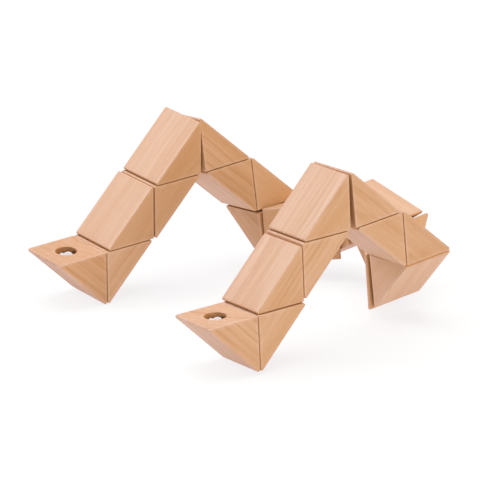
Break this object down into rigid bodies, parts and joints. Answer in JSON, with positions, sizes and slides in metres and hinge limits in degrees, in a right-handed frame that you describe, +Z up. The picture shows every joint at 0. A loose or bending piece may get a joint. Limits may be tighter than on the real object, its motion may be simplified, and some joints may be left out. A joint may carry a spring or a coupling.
{
  "type": "folding snake puzzle",
  "caption": "Wooden folding snake puzzle: triangular wedges threaded on one elastic cord, each turning on the next, standing as two linked arches.",
  "frame": {"origin": "middle of the object's bounding box, on the floor it stands on", "axes": "+Z up; +X from the two free ends towards the folded link; +Y from the lower arch with the last wedge towards the arch with the first wedge"},
  "size_m": [0.1536, 0.1278, 0.077],
  "materials": {
    "wood": "sanded bare pine, edges eased",
    "elastic": "undyed braided cover over a rubber core"
  },
  "bodies": {
    "block_01": {"wedge_01": "wood", "cord_01": "elastic"},
    "block_02": {"wedge_02": "wood", "cord_02": "elastic"},
    "block_03": {"wedge_03": "wood", "cord_03": "elastic"},
    "block_04": {"wedge_04": "wood", "cord_04": "elastic"},
    "block_05": {"wedge_05": "wood", "cord_05": "elastic"},
    "block_06": {"wedge_06": "wood", "cord_06": "elastic"},
    "block_07": {"wedge_07": "wood", "cord_07": "elastic"},
    "block_08": {"wedge_08": "wood", "cord_08": "elastic"},
    "block_09": {"wedge_09": "wood", "cord_09": "elastic"},
    "block_10": {"wedge_10": "wood", "cord_10": "elastic"},
    "block_11": {"wedge_11": "wood", "cord_11": "elastic"},
    "block_12": {"wedge_12": "wood", "cord_12": "elastic"},
    "block_13": {"wedge_13": "wood", "cord_13": "elastic"},
    "block_14": {"wedge_14": "wood", "cord_14": "elastic"},
    "block_15": {"wedge_15": "wood", "cord_15": "elastic"},
    "block_16": {"wedge_16": "wood", "cord_16": "elastic"},
    "block_17": {"wedge_17": "wood", "cord_17": "elastic"},
    "block_18": {"wedge_18": "wood", "cord_18": "elastic"},
    "block_19": {"wedge_19": "wood", "cord_19": "elastic"},
    "block_20": {"wedge_20": "wood", "cord_20": "elastic"},
    "block_21": {"wedge_21": "wood", "cord_21": "elastic"},
    "block_22": {"wedge_22": "wood", "cord_22": "elastic"},
    "block_23": {"wedge_23": "wood", "cord_23": "elastic"}
  },
  "joints": [
    {"name": "turn_01", "type": "hinge", "parent": "block_01", "child": "block_02", "pos_m": [-0.05218, 0.05104, 0.01196], "axis": [0.9985, -0.002, 0.0554], "range_deg": [-180, 180]},
    {"name": "turn_02", "type": "hinge", "parent": "block_02", "child": "block_03", "pos_m": [-0.04009, 0.05057, 0.02514], "axis": [-0.0555, -0.0357, 0.9978], "range_deg": [-90, 180]},
    {"name": "turn_03", "type": "hinge", "parent": "block_03", "child": "block_04", "pos_m": [-0.02832, 0.05009, 0.03861], "axis": [0.9985, -0.002, 0.0554], "range_deg": [-180, 180]},
    {"name": "turn_04", "type": "hinge", "parent": "block_04", "child": "block_05", "pos_m": [-0.01618, 0.04915, 0.05077], "axis": [-0.0555, -0.0357, 0.9978], "range_deg": [0, 2]},
    {"name": "turn_05", "type": "hinge", "parent": "block_05", "child": "block_06", "pos_m": [-0.00441, 0.04867, 0.06424], "axis": [0.9985, -0.002, 0.0554], "range_deg": [-180, 180]},
    {"name": "turn_06", "type": "hinge", "parent": "block_06", "child": "block_07", "pos_m": [0.00975, 0.04705, 0.05193], "axis": [0.0809, -0.1211, -0.9893], "range_deg": [-25, 16]},
    {"name": "turn_07", "type": "hinge", "parent": "block_07", "child": "block_08", "pos_m": [0.02324, 0.04551, 0.04029], "axis": [0.9967, 0.0012, 0.0814], "range_deg": [-90, 90]},
    {"name": "turn_08", "type": "hinge", "parent": "block_08", "child": "block_09", "pos_m": [0.03693, 0.04414, 0.02995], "axis": [0.0809, -0.1211, -0.9893], "range_deg": [-11, 3]},
    {"name": "turn_09", "type": "hinge", "parent": "block_09", "child": "block_10", "pos_m": [0.03832, 0.03013, 0.01841], "axis": [-0.0087, -0.9926, 0.1208], "range_deg": [-14, 4]},
    {"name": "turn_10", "type": "hinge", "parent": "block_10", "child": "block_11", "pos_m": [0.05015, 0.01721, 0.02165], "axis": [0.9989, -0.003, 0.0468], "range_deg": [0, 38]},
    {"name": "turn_11", "type": "hinge", "parent": "block_11", "child": "block_12", "pos_m": [0.06296, 0.00702, 0.02957], "axis": [-0.0283, -0.8343, 0.5505], "range_deg": [-34, 1]},
    {"name": "turn_12", "type": "hinge", "parent": "block_12", "child": "block_13", "pos_m": [0.06387, -0.0106, 0.0269], "axis": [0.107, -0.5501, -0.8282], "range_deg": [-1, 15]},
    {"name": "turn_13", "type": "hinge", "parent": "block_13", "child": "block_14", "pos_m": [0.05353, -0.02116, 0.01626], "axis": [-0.9925, -0.108, -0.0564], "range_deg": [-3, 37]},
    {"name": "turn_14", "type": "hinge", "parent": "block_14", "child": "block_15", "pos_m": [0.04134, -0.03676, 0.01721], "axis": [0.0856, -0.9927, 0.0851], "range_deg": [-102, 180]},
    {"name": "turn_15", "type": "hinge", "parent": "block_15", "child": "block_16", "pos_m": [0.0422, -0.05031, 0.03145], "axis": [-0.0999, 0.0765, 0.9921], "range_deg": [0, 180]},
    {"name": "turn_16", "type": "hinge", "parent": "block_16", "child": "block_17", "pos_m": [0.02846, -0.04961, 0.04323], "axis": [-0.995, -0.0065, -0.0997], "range_deg": [-180, 180]},
    {"name": "turn_17", "type": "hinge", "parent": "block_17", "child": "block_18", "pos_m": [0.01457, -0.04901, 0.05338], "axis": [-0.0999, 0.059, 0.9932], "range_deg": [-8, 9]},
    {"name": "turn_18", "type": "hinge", "parent": "block_18", "child": "block_19", "pos_m": [0.00036, -0.04834, 0.0648], "axis": [-0.995, -0.0065, -0.0997], "range_deg": [-180, 180]},
    {"name": "turn_19", "type": "hinge", "parent": "block_19", "child": "block_20", "pos_m": [-0.01313, -0.0487, 0.05167], "axis": [0.039, -0.0593, -0.9975], "range_deg": [-37, 0]},
    {"name": "turn_20", "type": "hinge", "parent": "block_20", "child": "block_21", "pos_m": [-0.02511, -0.04906, 0.03839], "axis": [-0.9987, 0.0319, -0.0409], "range_deg": [-90, 180]},
    {"name": "turn_21", "type": "hinge", "parent": "block_21", "child": "block_22", "pos_m": [-0.03741, -0.04939, 0.0254], "axis": [0.039, -0.0593, -0.9975], "range_deg": [-180, 180]},
    {"name": "turn_22", "type": "hinge", "parent": "block_22", "child": "block_23", "pos_m": [-0.04843, -0.05078, 0.01222], "axis": [-0.9987, 0.0319, -0.0409], "range_deg": [-180, 180]}
  ]
}
